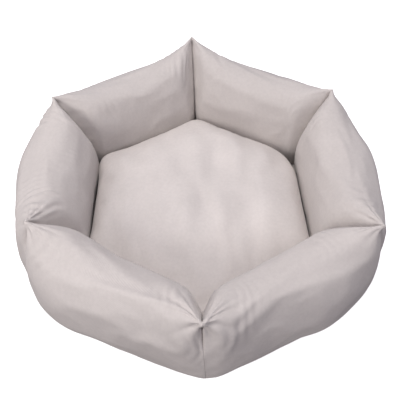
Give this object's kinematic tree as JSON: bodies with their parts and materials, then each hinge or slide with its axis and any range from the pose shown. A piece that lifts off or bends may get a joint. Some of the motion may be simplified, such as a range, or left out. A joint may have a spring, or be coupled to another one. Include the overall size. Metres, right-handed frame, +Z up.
{
  "type": "pet cushion bed",
  "caption": "Hexagonal soft pet bed: a ring of stuffed bolsters sewn together at pointed corners round a loose, low stuffed cushion.",
  "frame": {"origin": "centre of the sole's underside, on the surface the bed stands on", "axes": "+Z up; +Y towards the back corner of the ring, so a corner points towards -Y and a flat side towards +X"},
  "size_m": [0.636, 0.648, 0.186],
  "materials": {
    "cover_cloth": "soft brushed twill, warm pale greige",
    "cushion_cloth": "soft brushed twill, warm pale greige",
    "fibre_filling": "loose white polyester fibre",
    "wadding": "needled white polyester wadding",
    "sole_cloth": "dark non-slip sole cloth with small raised dots",
    "zip_tape": "woven tape, greige",
    "zip_teeth": "moulded nylon, greige",
    "zip_metal": "enamelled zinc, greige"
  },
  "bodies": {
    "bed": {"bolster_cover_right": "cover_cloth", "bolster_cover_back_right": "cover_cloth", "bolster_cover_back_left": "cover_cloth", "bolster_cover_left": "cover_cloth", "bolster_cover_front_left": "cover_cloth", "bolster_cover_front_right": "cover_cloth", "bolster_fill_right": "fibre_filling", "bolster_fill_back_right": "fibre_filling", "bolster_fill_back_left": "fibre_filling", "bolster_fill_left": "fibre_filling", "bolster_fill_front_left": "fibre_filling", "bolster_fill_front_right": "fibre_filling", "corner_web_back_right": "cover_cloth", "corner_web_back": "cover_cloth", "corner_web_back_left": "cover_cloth", "corner_web_front_left": "cover_cloth", "corner_web_front": "cover_cloth", "corner_web_front_right": "cover_cloth", "sole_panel": "sole_cloth", "floor_wadding": "wadding", "floor_lining": "cover_cloth"},
    "cushion": {"cushion_top_panel": "cushion_cloth", "cushion_bottom_panel": "cushion_cloth", "cushion_fill": "fibre_filling", "zip_tapes": "zip_tape", "zip_teeth": "zip_teeth", "zip_end_stops": "zip_metal"},
    "zip slider": {"zip_slider": "zip_metal"}
  },
  "joints": [
    {"name": "cushion_lift", "type": "slide", "parent": "bed", "child": "cushion", "axis": [0, 0, 1], "range_m": [0, 0.35]},
    {"name": "zip_slide", "type": "slide", "parent": "cushion", "child": "zip slider", "axis": [1, 0, 0], "range_m": [0, 0.2]}
  ]
}
